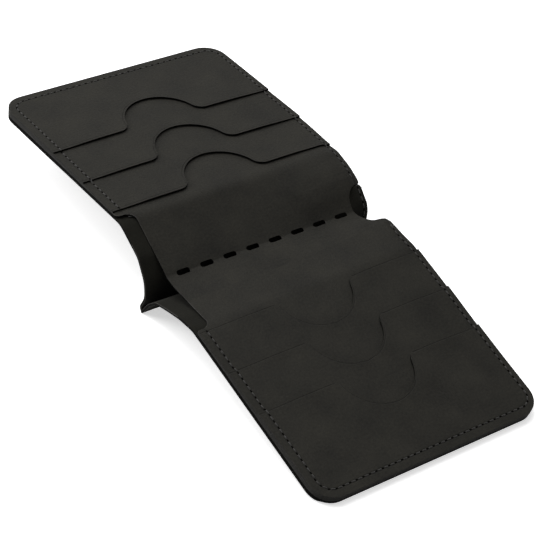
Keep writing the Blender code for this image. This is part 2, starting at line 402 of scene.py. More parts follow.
def right_roll(x, s):
    """Beside the spine the sewn right edge rolls down."""
    amount = 0.6 + 0.7 * ease(s, -6, 4)
    return amount * ease(x, 43.0, HALF_WIDTH + 0.5) * ease(s, -52, -14) * (1 - ease(s, 20, 50))


def notch_lip(x, s):
    """The near lip of the right notch curls up a little, and its corner turns down again."""
    across = ease(x, 42.0, 45.4) * (1 - 0.75 * ease(x, 46.4, HALF_WIDTH))
    return LIP * across * ease(s, -21, -13) * (1 - ease(s, -9, -6))


def right_swell(x, s):
    return soft_curve(RIGHT_SWELL, s) * ease(x, 0, 46) - right_roll(x, s)


def both_crowns(x, far_reach, near_reach):
    return FAR_CROWN * crown(x, far_reach, FAR_LENGTH) + NEAR_CROWN * crown(x, near_reach, NEAR_LENGTH)


def liner_swell(x, s):
    """How far the liner and all that lies on it stand off the side profile."""
    left = soft_curve(LEFT_DIP, s) * ease(-x, 5, 42)
    return both_crowns(x, s - FAR_START, -s - NEAR_START) + right_swell(x, s) - left + notch_lip(x, s)


def shell_swell(x, s):
    """The same swell for the shell, which leaves the liner at the spine."""
    far_reach = s - FAR_SHELL_START
    near_reach = -s - NEAR_SHELL_START
    on_liner = np.where(s > 0, far_reach + FAR_START, -near_reach - NEAR_START)
    held = np.where(s > 0, ease(far_reach, -6, 2), ease(near_reach, -14, 2))
    return both_crowns(x, far_reach, near_reach) + right_swell(x, on_liner) * held


def shell_pinch(x, s):
    """The shell drawn up against the liner by the border seam, at the right and at both outer ends."""
    reach = np.where(s > 0, s - FAR_SHELL_START, -s - NEAR_SHELL_START)
    length = np.where(s > 0, FAR_LENGTH, NEAR_LENGTH)
    side = ease(x, HALF_WIDTH - 4.4, HALF_WIDTH - 2.2)
    end = ease(reach, length - 4.4, length - 2.2)
    return PINCH * np.maximum(side, end) * ease(reach, 0, 7)


print("in mm, the right swells by", RIGHT_SWELL[:, 1].max(), "and the left dips by", LEFT_DIP[:, 1].max())

# %% [markdown]
# ## Laying a flat panel
#
# A flat panel keeps X along the spine, Y as the distance from the fold, and Z as the height above the line
# it is laid on. Laying it moves every point to its place on the side profile, square to the line, and turns
# millimetres into metres.

# %% Lay on a line
NIB = 0.3
LAYER_GAP = 0.05
SLOPE_ALLOWANCE = 1.11
NOTCH_ROOM = 1.7
SOFT_MEETING = 1.2


def on_line(walk, line, s):
    """Points on a line at distances s, and the direction square to the line there."""
    ahead = [np.interp(s + NIB, walk, line[:, i]) for i in (0, 1)]
    behind = [np.interp(s - NIB, walk, line[:, i]) for i in (0, 1)]
    way = np.array(ahead) - np.array(behind)
    way /= np.maximum(np.hypot(*way), 1e-9)
    place = np.array([np.interp(s, walk, line[:, i]) for i in (0, 1)])
    return place, np.array([-way[1], way[0]])


def laid_on_liner(points):
    x, s, h = points.T
    place, square = on_line(liner_walk, liner_line, s)
    height = h + liner_swell(x, s)
    return np.column_stack([x, place[0] + square[0] * height, place[1] + square[1] * height]) * MM


def shell_inset(s):
    """The shell's left edge stands back beside the spine and comes out again along the far half."""
    return 0.2 * ease(s, 2, 8) * (1 - ease(s, FAR_SHELL_START + 30, FAR_SHELL_START + 60))


def under_liner(x, y, z, h):
    """Heights of the shell, pressed down wherever it would reach up through the liner."""
    s = np.interp(y, liner_line[:, 0], liner_walk)
    liner_face = np.interp(y, liner_line[:, 0], liner_line[:, 1]) + liner_swell(x, s)
    ceiling = liner_face - (LINER + LAYER_GAP + SHELL - h) * SLOPE_ALLOWANCE
    in_notch = ease(x, 42.5, 46) * ease(y, FOLD.x - 9, FOLD.x - 6)
    in_notch = in_notch * (1 - ease(y, FOLD.x + 6.3, FOLD.x + 8.4))
    ceiling = ceiling + NOTCH_ROOM * in_notch
    apart = np.clip(0.5 + (ceiling - z) / SOFT_MEETING, 0, 1)
    pressed = ceiling * (1 - apart) + z * apart - SOFT_MEETING / 2 * apart * (1 - apart)
    between = ease(y, NEAR_SHELL_HINGE.x + 2, NEAR_SHELL_HINGE.x + 8)
    between = between * (1 - ease(y, FAR_SHELL_HINGE.x - 6, FAR_SHELL_HINGE.x - 1))
    return z + (pressed - z) * between


def laid_on_shell(points):
    x, s, h = points.T
    share = np.clip((x + HALF_WIDTH) / (2 * HALF_WIDTH), 0, 1)
    left, left_square = on_line(shell_walk, shell_left, s)
    right, right_square = on_line(shell_walk, shell_right, s)
    place = left * (1 - share) + right * share
    square = left_square * (1 - share) + right_square * share
    square /= np.hypot(*square)
    height = h + shell_swell(x, s) + shell_pinch(x, s)
    moved = x + shell_inset(s) * ease(-x, 30, HALF_WIDTH)
    y = place[0] + square[0] * height
    z = under_liner(x, y, place[1] + square[1] * height, h)
    return np.column_stack([moved, y, z]) * MM


print("the shell's crease is laid at", laid_on_shell(np.array([[0.0, 0.0, 0.0]]))[0].round(4))

# %% [markdown]
# ## At the cutting table
#
# Every panel starts as a cube primitive, stretched to a flat plate. Its corners are beveled round, its cuts
# are booleans, and its rims are softened with a small bevel. Then it is scored with bisect lines, because a
# face can only bend at an edge.

# %% Small tools
def deselect():
    if bpy.context.object and bpy.context.object.mode != "OBJECT":
        bpy.ops.object.mode_set(mode="OBJECT")
    bpy.ops.object.select_all(action="DESELECT")


def take(*pieces):
    """Make these pieces the only selected ones, and the first one active."""
    deselect()
    for piece in pieces:
        piece.select_set(True)
    bpy.context.view_layer.objects.active = pieces[0]


def joined(pieces):
    """Join pieces into the first one."""
    take(*pieces)
    bpy.ops.object.join()
    return pieces[0]


def pick_edges(piece, test):
    """Go into edit mode with only the edges that pass a test selected."""
    take(piece)
    bpy.ops.object.mode_set(mode="EDIT")
    bpy.ops.mesh.select_mode(type="EDGE")
    bpy.ops.mesh.select_all(action="DESELECT")
    for edge in bmesh.from_edit_mesh(piece.data).edges:
        if test(edge):
            edge.select_set(True)
    bmesh.update_edit_mesh(piece.data)


def plate(name, x_span, s_span, h_span):
    """A flat rectangular blank between spans of X, distance from the fold, and height."""
    deselect()
    spans = (x_span, s_span, h_span)
    middle = [(low + high) / 2 for low, high in spans]
    size = [high - low for low, high in spans]
    bpy.ops.mesh.primitive_cube_add(size=1, location=middle, scale=size)
    piece = bpy.context.object
    piece.name = name
    piece.data.name = name
    bpy.ops.object.transform_apply(location=True, rotation=True, scale=True)
    return piece


def upright_at(places, slack=0.02):
    """A test for the upright edges that stand at any of these (x, s) places."""
    def test(edge):
        a, b = edge.verts[0].co, edge.verts[1].co
        upright = math.hypot(a.x - b.x, a.y - b.y) < 1e-3
        return upright and any(math.hypot(a.x - x, a.y - s) < slack for x, s in places)
    return test


def round_corners(piece, places, radius, segments=8):
    """Bevel the upright edges at these places to a radius."""
    pick_edges(piece, upright_at(places))
    bpy.ops.mesh.bevel(offset=radius, segments=segments, affect="EDGES")
    bpy.ops.object.mode_set(mode="OBJECT")


def cut_away(piece, cutter, operation="DIFFERENCE"):
    """Cut a piece with another one, or add the other one to it."""
    take(piece)
    modifier = piece.modifiers.new("cut", "BOOLEAN")
    modifier.operation = operation
    modifier.solver = "EXACT"
    modifier.object = cutter
    bpy.ops.object.modifier_apply(modifier=modifier.name)
    bpy.data.objects.remove(cutter)


def moved_copy(piece, matrix, name="copy"):
    """A copy with its own mesh, moved within its mesh."""
    copy = piece.copy()
    copy.data = piece.data.copy()
    copy.name = name
    bpy.context.scene.collection.objects.link(copy)
    copy.data.transform(matrix)
    return copy


print("small tools are ready: blanks, corners, cuts and copies")

# %% [markdown]
# A rim is the line where a face meets the cut edge. It is softened all round except where a panel is only
# divided so that it can bend: there the two parts must meet without a groove.

# %% Soften the rims and score the panel
OUTER = 60.0


def every(step, low, high):
    count = max(1, round((high - low) / step))
    return [low + (high - low) * i / count for i in range(count + 1)]


X_LINES = every(5.4, -HALF_WIDTH, HALF_WIDTH) + [-46.6, 46.6, -44.2, 44.2, -42.0, 45.4]


def hide_blank(name, s_span, h_span):
    """A full width blank with its outer corners rounded, and the lines where the same hide goes on."""
    piece = plate(name, (-HALF_WIDTH, HALF_WIDTH), s_span, h_span)
    for outer in s_span:
        if abs(outer) > OUTER:
            round_corners(piece, [(-HALF_WIDTH, outer), (HALF_WIDTH, outer)], CORNER, 10)
    return piece, [s for s in s_span if abs(s) < OUTER]


def soften_rims(piece, amount, joins=()):
    """Bevel every rim, but not along the lines where the same hide goes on in the next piece."""
    def test(edge):
        if len(edge.link_faces) != 2:
            return False
        faces = sorted(abs(face.normal.z) for face in edge.link_faces)
        if not (faces[0] < 0.3 and faces[1] > 0.9):
            return False
        return not any(all(abs(vert.co.y - s) < 0.01 for vert in edge.verts) for s in joins)
    pick_edges(piece, test)
    bpy.ops.mesh.bevel(offset=amount, segments=2, affect="EDGES", clamp_overlap=True)
    bpy.ops.object.mode_set(mode="OBJECT")


def score(piece, x_lines, s_lines):
    """Cut edges across a panel wherever it has to bend."""
    take(piece)
    bpy.ops.object.mode_set(mode="EDIT")
    for axis, lines in ((0, x_lines), (1, s_lines)):
        reach = [vert.co[axis] for vert in bmesh.from_edit_mesh(piece.data).verts]
        way = Vector((1, 0, 0)) if axis == 0 else Vector((0, 1, 0))
        for place in lines:
            if min(reach) + 0.15 < place < max(reach) - 0.15:
                bpy.ops.mesh.select_all(action="SELECT")
                bpy.ops.mesh.bisect(plane_co=way * place, plane_no=way, threshold=0.0005)
    bpy.ops.object.mode_set(mode="OBJECT")


print("a panel is scored along", len(X_LINES), "lines that cross the spine")

# %% [markdown]
# ## Finishes
#
# The hide is a matte, nearly black brown with a very fine grain. What the eye reads as leather is small: a
# soft mottle in the dye, grain that catches the light, and a slightly different gloss where hands have
# rubbed it. The same grain serves the face, the painted edge and the raw inside, so it is a node group.
# Patterns are drawn in the flat panel's own millimetres, through the UV map, and so they bend with it.

# %% Node helpers
def add_node(tree, kind, **settings):
    node = tree.nodes.new(kind)
    for key, value in settings.items():
        setattr(node, key, value)
    return node


def feed(tree, node, values):
    """Give a node's inputs a number, a colour or another node's output each, and return its outputs."""
    for name, value in values.items():
        if isinstance(value, bpy.types.NodeSocket):
            tree.links.new(value, node.inputs[name])
        else:
            node.inputs[name].default_value = value
    return node.outputs


def math_node(tree, operation, *values):
    """A Math node's result for sockets or plain numbers."""
    return feed(tree, add_node(tree, "ShaderNodeMath", operation=operation), dict(enumerate(values)))[0]


def noise(tree, vector, scale, detail=2.0, roughness=0.5):
    settings = {"Vector": vector, "Scale": scale, "Detail": detail, "Roughness": roughness}
    return feed(tree, add_node(tree, "ShaderNodeTexNoise"), settings)


def flat_place(tree):
    """The place on the flat pattern, in millimetres."""
    return add_node(tree, "ShaderNodeUVMap", uv_map="flat").outputs["UV"]


def two_tones(tree, factor, dark, light):
    node = add_node(tree, "ShaderNodeMix", data_type="RGBA")
    return feed(tree, node, {"Factor": factor, "A": (*dark, 1), "B": (*light, 1)})["Result"]


def stretch(tree, value, low, high, new_low, new_high):
    settings = {"Value": value, "From Min": low, "From Max": high, "To Min": new_low, "To Max": new_high}
    return feed(tree, add_node(tree, "ShaderNodeMapRange"), settings)["Result"]


def raise_bumps(tree, shader, height, depth, strength=1.0):
    """Relief on a finish, with its depth in millimetres."""
    settings = {"Strength": strength, "Distance": depth * MM, "Height": height}
    bump = feed(tree, add_node(tree, "ShaderNodeBump"), settings)
    feed(tree, shader, {"Normal": bump["Normal"]})


def new_group(name, inputs, outputs):
    """An empty node group: itself, its inputs and its end node. An input without a number is a place."""
    group = bpy.data.node_groups.new(name, "ShaderNodeTree")
    for title, value in inputs.items():
        kind = "NodeSocketVector" if value is None else "NodeSocketFloat"
        socket = group.interface.new_socket(title, in_out="INPUT", socket_type=kind)
        if value is not None:
            socket.default_value = value
    for title in outputs:
        group.interface.new_socket(title, in_out="OUTPUT", socket_type="NodeSocketFloat")
    return group, add_node(group, "NodeGroupInput").outputs, add_node(group, "NodeGroupOutput")


def place_group(tree, group, **values):
    return feed(tree, add_node(tree, "ShaderNodeGroup", node_tree=group), values)


print("node helpers are ready")

# %% The grain of the hide
grain, given, result = new_group(
    "hide_grain", {"Flat": None, "Pebble": 1.6, "Fibre": 5.0}, ["Tone", "Height", "Rub"])
flat = given["Flat"]
warp = noise(grain, flat, 0.9)["Color"]
mixed = add_node(grain, "ShaderNodeMix", data_type="VECTOR")
pushed = feed(grain, mixed, {"Factor": 0.12, "A": flat, "B": warp})["Result"]
cells = add_node(grain, "ShaderNodeTexVoronoi", feature="SMOOTH_F1")
pebbles = feed(grain, cells, {"Vector": pushed, "Scale": given["Pebble"], "Smoothness": 0.6})["Distance"]
fibres = noise(grain, flat, given["Fibre"], 5.0, 0.62)["Fac"]
clouds = noise(grain, flat, 0.07, 4.0, 0.55)["Fac"]
flecks = noise(grain, flat, 1.1, 3.0)["Fac"]
fleck_share = math_node(grain, "MULTIPLY_ADD", flecks, 0.30, 0.0)
cloud_share = math_node(grain, "MULTIPLY_ADD", clouds, 0.40, fleck_share)
domed = math_node(grain, "SUBTRACT", 1.0, pebbles)
feed(grain, result, {
    "Tone": math_node(grain, "MULTIPLY_ADD", fibres, 0.30, cloud_share),
    "Height": math_node(grain, "MULTIPLY_ADD", fibres, 0.45, domed),
    "Rub": clouds,
})
print("node group", grain.name, "has", len(grain.nodes), "nodes")

# %% [markdown]
# Two lines are pressed into the hide with a warm tool: a groove that the border stitches lie in, and a fine
# crease beside each pocket mouth. Both are pressed into the relief, and darkened in the colour as painted shade.
# Both are a distance from an edge of the pattern. The UV map holds X and
# the distance from the outer end, so the first distance is worked out in a node group; the second one
# comes with each pocket as an attribute.

# %% Pressed lines
press, given, result = new_group("pressed_line", {"Distance": 0.0, "Place": 1.0, "Width": 0.2}, ["Mask"])
off = math_node(press, "ABSOLUTE", math_node(press, "SUBTRACT", given["Distance"], given["Place"]))
share = math_node(press, "DIVIDE", off, given["Width"])
falls = math_node(press, "SUBTRACT", 1.0, math_node(press, "MINIMUM", share, 1.0))
feed(press, result, {"Mask": math_node(press, "SMOOTH_MIN", falls, 1.0, 0.1)})

border, given, result = new_group("from_border", {"Flat": None}, ["Distance"])
place = feed(border, add_node(border, "ShaderNodeSeparateXYZ"), {0: given["Flat"]})
at_right = math_node(border, "GREATER_THAN", place["X"], 0.0)
reach_out = math_node(border, "MULTIPLY_ADD", at_right, RIGHT_SEAM_SHIFT, HALF_WIDTH)
side_gap = math_node(border, "SUBTRACT", reach_out, math_node(border, "ABSOLUTE", place["X"]))
inside_x = math_node(border, "MAXIMUM", math_node(border, "SUBTRACT", CORNER, side_gap), 0.0)
inside_y = math_node(border, "MAXIMUM", math_node(border, "SUBTRACT", CORNER, place["Y"]), 0.0)
squares = math_node(border, "ADD", math_node(border, "MULTIPLY", inside_x, inside_x),
                    math_node(border, "MULTIPLY", inside_y, inside_y))
to_border = math_node(border, "SUBTRACT", CORNER, math_node(border, "SQRT", squares))
feed(border, result, {"Distance": to_border})
print("node groups", press.name, "and", border.name)

# %% A leather finish
def plain_material(name, specular, sheen=0.0):
    material = bpy.data.materials.new(name)
    material.use_nodes = True
    tree = material.node_tree
    shader = tree.nodes["Principled BSDF"]
    feed(tree, shader, {"Specular IOR Level": specular, "Sheen Weight": sheen, "Sheen Roughness": 0.5})
    return material, tree, shader


def edge_layers(tree, flat, spread, height):
    """The long thin layers of a cut edge, in its tone and in its relief."""
    drawn = feed(tree, add_node(tree, "ShaderNodeMapping"), {"Vector": flat, "Scale": (0.10, 5.0, 1.0)})
    layers = noise(tree, drawn["Vector"], 1.0, 3.0)["Fac"]
    spread = math_node(tree, "MULTIPLY", spread, stretch(tree, layers, 0.35, 0.65, 0.15, 1.6))
    return spread, math_node(tree, "ADD", height, math_node(tree, "MULTIPLY", layers, 2.5))


def press_lines_and_shade(tree, flat, colour, height):
    """The seam's groove and the crease beside a mouth, pressed into the relief and darkened with painted shade."""
    edge = place_group(tree, border, Flat=flat)["Distance"]
    groove = place_group(tree, press, Distance=edge, Place=SEAM_INSET, Width=0.75)["Mask"]
    to_mouth = add_node(tree, "ShaderNodeAttribute", attribute_name="to_mouth").outputs["Fac"]
    crease = place_group(tree, press, Distance=to_mouth, Place=0.75, Width=0.22)["Mask"]
    lines = math_node(tree, "MAXIMUM", math_node(tree, "MULTIPLY", groove, 0.75), crease)
    height = math_node(tree, "SUBTRACT", height, math_node(tree, "MULTIPLY", lines, 2.2))
    # Painted shade: the groove and the crease are darkened in the colour.
    shade = math_node(tree, "MULTIPLY", lines, 0.62)
    node = add_node(tree, "ShaderNodeMix", data_type="RGBA", blend_type="MULTIPLY")
    return feed(tree, node, {"Factor": shade, "A": colour, "B": (0.25, 0.25, 0.25, 1)})["Result"], height


def leather_finish(name, dark, light, gloss, pebble, fibre, depth, specular, sheen, pressed=False,
                   streaks=False):
    """A hide's finish: two tones, roughness, how fine its pebbles and fibres are, and its relief in mm."""
    material, tree, shader = plain_material(name, specular, sheen)
    flat = flat_place(tree)
    hide = place_group(tree, grain, Flat=flat, Pebble=pebble, Fibre=fibre)
    spread = stretch(tree, hide["Tone"], 0.36, 0.64, 0.0, 1.0)
    height = hide["Height"]
    if streaks:
        spread, height = edge_layers(tree, flat, spread, height)
    colour = two_tones(tree, spread, dark, light)
    if pressed:
        colour, height = press_lines_and_shade(tree, flat, colour, height)
    rubbed = stretch(tree, hide["Rub"], 0.3, 0.7, gloss - 0.05, gloss + 0.06)
    feed(tree, shader, {"Base Color": colour, "Roughness": rubbed})
    raise_bumps(tree, shader, height, depth, 0.6)
    return material


# %% [markdown]
# The same hide looks different on each of its sides. The grain side is the lightest, the flesh side is dark
# and dull, the cut edge is painted in thin layers, and the rim between them is burnished; its upward bevel
# is also paler than the hide, as a painted highlight.
# A nearly black finish goes on the liner and shell edges, on the pocket mouths and on every downward bevel: partly
# black edge paint, partly painted shade for the gaps and undersides that the light doesn't reach.

# %% The five leathers
FACE = leather_finish("leather_face", dark=(0.0058, 0.0054, 0.0041), light=(0.0208, 0.0195, 0.0153),
                      gloss=0.68, pebble=1.9, fibre=5.0, depth=0.11, specular=0.14, sheen=0.03, pressed=True)
EDGE = leather_finish("leather_edge_paint", dark=(0.0030, 0.0028, 0.0023), light=(0.0160, 0.0152, 0.0124),
                      gloss=0.66, pebble=2.6, fibre=7.0, depth=0.05, specular=0.09, sheen=0.02, streaks=True)
# Painted highlight: the upward bevels take this paler, glossier finish, which draws a light line along each rim. The
# burnishing is real.
RIM_HIGHLIGHT = leather_finish("leather_burnished_rim", dark=(0.015, 0.0142, 0.0118), light=(0.030, 0.0285, 0.0240),
                     gloss=0.48, pebble=2.6, fibre=7.0, depth=0.02, specular=0.25, sheen=0.03)
FLESH = leather_finish("leather_flesh_side", dark=(0.0052, 0.0050, 0.0036), light=(0.0100, 0.0096, 0.0070),
                       gloss=0.92, pebble=3.2, fibre=9.0, depth=0.10, specular=0.08, sheen=0.05)
# Partly black edge paint, partly painted shade: the mouth walls, the downward bevels and the dark line under the stack
# of layers.
BLACK_EDGE_AND_SHADE = leather_finish("leather_black_edge", dark=(0.0010, 0.0010, 0.0009),
                           light=(0.0026, 0.0026, 0.0023), gloss=0.70, pebble=2.6, fibre=7.0, depth=0.03,
                           specular=0.05, sheen=0.0, streaks=True)
print("leather finishes:", FACE.name, EDGE.name, RIM_HIGHLIGHT.name, FLESH.name, BLACK_EDGE_AND_SHADE.name)

# %% [markdown]
# The thread is waxed and twisted, the same colour as the hide. A stitch shows a few turns of its plies, as
# slanted ridges. Each needle hole is a small pit, drawn as a flat near black disc: painted shade for the pit's depth.
# The lining is a plain woven cloth, with threads over
# and under each other about three to the millimetre.

# %% Thread, needle holes and lining
def ridges(tree, flat, scale, turn):
    """Parallel ridges, turned by an angle."""
    turned = feed(tree, add_node(tree, "ShaderNodeMapping"), {"Vector": flat, "Rotation": (0, 0, turn)})
    wave = add_node(tree, "ShaderNodeTexWave", bands_direction="X")
    return feed(tree, wave, {"Vector": turned["Vector"], "Scale": scale})["Fac"]


THREAD, tree, shader = plain_material("waxed_thread", 0.3, 0.2)
plies = ridges(tree, flat_place(tree), 0.9, math.radians(35))
feed(tree, shader, {"Base Color": two_tones(tree, plies, (0.006, 0.0055, 0.0045), (0.019, 0.018, 0.015)),
                    "Roughness": stretch(tree, plies, 0.0, 1.0, 0.62, 0.48)})
raise_bumps(tree, shader, plies, 0.05)

# Painted shade: the hole is a flat disc whose near black colour stands in for the shade in the pit.
HOLE_SHADE, tree, shader = plain_material("needle_hole", 0.0)
torn = noise(tree, flat_place(tree), 4.0)["Fac"]
feed(tree, shader, {"Base Color": two_tones(tree, torn, (0.0006, 0.0006, 0.0005), (0.003, 0.003, 0.0025)),
                    "Roughness": 0.95})

WEAVE, tree, shader = plain_material("woven_lining", 0.2, 0.3)
flat = flat_place(tree)
weft = ridges(tree, flat, 0.95, math.radians(90))
cloth = math_node(tree, "MULTIPLY", ridges(tree, flat, 0.95, 0.0), weft)
uneven = math_node(tree, "MULTIPLY", cloth, noise(tree, flat, 0.5)["Fac"])
feed(tree, shader, {"Base Color": two_tones(tree, uneven, (0.004, 0.004, 0.0038), (0.020, 0.019, 0.018)),
                    "Roughness": stretch(tree, cloth, 0.0, 1.0, 0.9, 0.7)})
raise_bumps(tree, shader, cloth, 0.08)
print("finishes:", THREAD.name, HOLE_SHADE.name, WEAVE.name)

# %% [markdown]
# ## Finishing a panel
#
# While the panel is still flat, its faces are told apart by their direction: up is the grain side, down is
# the flesh side, and what is left is the painted edge. The flat coordinates go into the UV map, and then
# the panel is laid on its line. Weighted normals keep the wide faces from darkening beside the thin rims.

# %% Finish a panel
EDGE_STRIP = 300
ON_FACE, ON_BACK, ON_EDGE, ON_RIM_HIGHLIGHT, ON_PAINTED_SHADE = range(5)


def flat_map(piece, outer_end):
    """UVs in millimetres: X and the distance from the outer end, or the run and the height on cut edges."""
    mesh = piece.data
    uv = mesh.uv_layers.new(name="flat").data
    sign = 1 if outer_end > 0 else -1
    for polygon in mesh.polygons:
        upright = abs(polygon.normal.z) < 0.5
        for loop in polygon.loop_indices:
            x, s, h = mesh.vertices[mesh.loops[loop].vertex_index].co
            uv[loop].uv = (s * sign - abs(x), h + EDGE_STRIP) if upright else (x, (outer_end - s) * sign)


def mouth_distance(piece, mouth, sign):
    """Each point's distance from the pocket's mouth, the thumb cut included."""
    attribute = piece.data.attributes.new("to_mouth", "FLOAT", "POINT")
    for vert, item in zip(piece.data.vertices, attribute.data):
        along = vert.co.y * sign - mouth
        item.value = min(along, math.hypot(vert.co.x, along) - THUMB)


def lift_mouth(piece, amount):
    """Raise the leather beside a pocket's mouth, as a used pocket stands open. The seams hold it down."""
    for vert, item in zip(piece.data.vertices, piece.data.attributes["to_mouth"].data):
        held = float(ease(abs(vert.co.x), 30, 42))
        vert.co.z += amount * (1 - held) * float(1 - ease(item.value, 0, 7))


def paint_faces(piece, up=None, down=None, edge=None, rim=None):
    """Finishes by direction: face, back, cut edge, an upper rim with a painted highlight and a lower rim with painted
    shade.
    """
    for material in (up or FACE, down or FLESH, edge or EDGE, rim or RIM_HIGHLIGHT, BLACK_EDGE_AND_SHADE):
        piece.data.materials.append(material)
    for polygon in piece.data.polygons:
        height = polygon.normal.z
        if abs(height) > 0.93:
            polygon.material_index = ON_FACE if height > 0 else ON_BACK
        else:
            # Upward bevels get the painted highlight, downward bevels the painted shade.
            polygon.material_index = ON_RIM_HIGHLIGHT if height > 0.2 else ON_PAINTED_SHADE if height < -0.2 else ON_EDGE


def finish_flat(piece, rim_width, bends, outer_end, joins=(), **finishes):
    """The last steps on the table: rims softened, panel scored, mapped and given its finishes."""
    soften_rims(piece, rim_width, joins)
    score(piece, X_LINES, bends)
    flat_map(piece, outer_end)
    paint_faces(piece, **finishes)


def lay(piece, laid):
    """Lay a flat piece: move its points with one of the laying functions, then shade it smooth."""
    mesh = piece.data
    points = np.empty(len(mesh.vertices) * 3)
    mesh.vertices.foreach_get("co", points)
    mesh.vertices.foreach_set("co", laid(points.reshape(-1, 3)).ravel())
    mesh.update()
    take(piece)
    bpy.ops.object.shade_smooth_by_angle(angle=math.radians(50))
    weighted = piece.modifiers.new("even", "WEIGHTED_NORMAL")
    weighted.keep_sharp = True
    bpy.ops.object.modifier_apply(modifier=weighted.name)
    return piece


def point_on(laid, s):
    """A place on a laid line, in metres, for the ends of a blend."""
    return tuple(laid(np.array([[0.0, s, 0.0]]))[0])


print("the liner crosses its far hinge at", point_on(laid_on_liner, FAR_START))

# %% [markdown]
# ## The liner
#
# The liner is one hide from end to end. It carries the pockets, and in its middle it bridges the spine:
# eight pill shaped slots run along the fold, and it is cut back at both ends of the spine. A blend only
# crosses one hinge, so the hide is divided in three, at places that don't bend.

# %% Cutters for the liner
LEFT_NOTCH = (-NEAR_START - 1.4, FAR_START + 1.9)
LEFT_NOTCH_X = -42.0
RIGHT_NOTCH = (-11.0, 9.3)
RIGHT_NOTCH_X = HALF_WIDTH - 7.5
SLOT_COUNT = 8
SLOT_GAP = 10
SLOT_X = 2.75
SLOT_Y = 1.0


def slot_cutters():
    """Eight pills in a row, along the fold."""
    pill = plate("slot_cutter", (-SLOT_X, SLOT_X), (-SLOT_Y, SLOT_Y), (-3, 3))
    round_corners(pill, [(x, s) for x in (-SLOT_X, SLOT_X) for s in (-SLOT_Y, SLOT_Y)], 0.98, 6)
    middle = (SLOT_COUNT - 1) / 2
    row = [moved_copy(pill, Matrix.Translation(((i - middle) * SLOT_GAP, 0, 0))) for i in range(SLOT_COUNT)]
    bpy.data.objects.remove(pill)
    return joined(row)


def left_notch_cutter():
    """The cut-back at the left end of the spine, with rounded inner corners."""
    cutter = plate("left_notch", (-70, LEFT_NOTCH_X), LEFT_NOTCH, (-3, 3))
    round_corners(cutter, [(LEFT_NOTCH_X, s) for s in LEFT_NOTCH], 3.6, 8)
    return cutter


def right_notch_cutter():
    """The cut-back at the right end, with its far inner corner a little rounder than its near one."""
    cutter = plate("right_notch", (RIGHT_NOTCH_X, 70), RIGHT_NOTCH, (-3, 3))
    round_corners(cutter, [(RIGHT_NOTCH_X, RIGHT_NOTCH[1])], 6.0, 12)
    round_corners(cutter, [(RIGHT_NOTCH_X, RIGHT_NOTCH[0])], 5.8, 12)
    return cutter


print("the notches are", [round(high - low, 1) for low, high in (LEFT_NOTCH, RIGHT_NOTCH)], "mm wide")

# %% Cut and lay the liner
def liner_hide(name, s_span, outer_end, bends):
    """One part of the liner: its span, the outer end it is measured from, and where it bends."""
    piece, joins = hide_blank(name, s_span, (-LINER, 0))
    in_middle = len(joins) == 2
    cut_away(piece, left_notch_cutter())
    if not in_middle:
        round_corners(piece, [(-HALF_WIDTH, LEFT_NOTCH[1] if outer_end > 0 else LEFT_NOTCH[0])], 1.8, 5)
    cut_away(piece, right_notch_cutter())
    if in_middle:
        cut_away(piece, slot_cutters())
        round_corners(piece, [(HALF_WIDTH, RIGHT_NOTCH[0])], 1.6, 6)
        round_corners(piece, [(HALF_WIDTH, RIGHT_NOTCH[1])], 0.8, 3)
    # The liner's cut edge takes the near black finish, partly as painted shade where the stack meets the shell.
    finish_flat(piece, 0.11, bends, outer_end, joins, edge=BLACK_EDGE_AND_SHADE)
    print(piece.name, len(piece.data.polygons), "faces")
    return lay(piece, laid_on_liner)


SPLIT_FAR = 12.6
SPLIT_NEAR = -13.0
FAR_END = FAR_START + FAR_LENGTH
NEAR_END = -NEAR_START - NEAR_LENGTH
far_bends = every(1.2, FAR_START - 7, FAR_START + 7) + every(6, FAR_START + 12, FAR_END - 2) + [16, 20]
near_bends = every(1.2, -NEAR_START - 7, -NEAR_START + 7) + every(6, NEAR_END + 2, -NEAR_START - 12) + [-16]
middle_bends = every(0.55, -7, 7) + every(2, -13, -8) + every(2, 8, 12)
liner_far = liner_hide("liner_far_leather", (SPLIT_FAR, FAR_END), FAR_END, far_bends)
liner_middle = liner_hide("liner_spine_leather", (SPLIT_NEAR, SPLIT_FAR), FAR_END, middle_bends)
liner_near = liner_hide("liner_near_leather", (NEAR_END, SPLIT_NEAR), NEAR_END, near_bends)

# %% The liner bends with the wallet
def bend_at(s, reach):
    """The ends of a blend on the liner, a reach to either side of a hinge, from the far side to the near."""
    return {"start": point_on(laid_on_liner, s + reach), "end": point_on(laid_on_liner, s - reach)}


FAR_BEND = bend_at(FAR_START, 5)
NEAR_BEND = bend_at(-NEAR_START, 5)
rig.blend(liner_far, "far_half", "spine_far", **FAR_BEND)
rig.blend(liner_middle, "spine_far", "spine_near", **bend_at(0.0, 3.2))
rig.blend(liner_near, "spine_near", "near_half", **NEAR_BEND)
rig.replaces(liner_far, "far_liner_panel")
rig.replaces(liner_middle, "spine_liner_far", "spine_liner_near")
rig.replaces(liner_near, "near_liner_panel")
for piece in (liner_far, liner_middle, liner_near):
    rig.slot(piece, "leather")
    print(piece.name, "bends and is leather")

# %% [markdown]
# ## The card pockets
#
# Three pockets are stepped on each half, each one starting further out and lying on the one before. The
# mouth has a half round cut for the thumb, whose shoulders are rounded. One cutter makes all six cuts: a
# cylinder for the bowl, joined to a block whose corners are hollowed by two smaller cylinders.

# %% The thumb cutter
def upright_cylinder(radius, x, s, count):
    deselect()
    bpy.ops.mesh.primitive_cylinder_add(vertices=count, radius=radius, depth=8, location=(x, s, 0))
    piece = bpy.context.object
    bpy.ops.object.transform_apply(location=True, rotation=True, scale=True)
    return piece


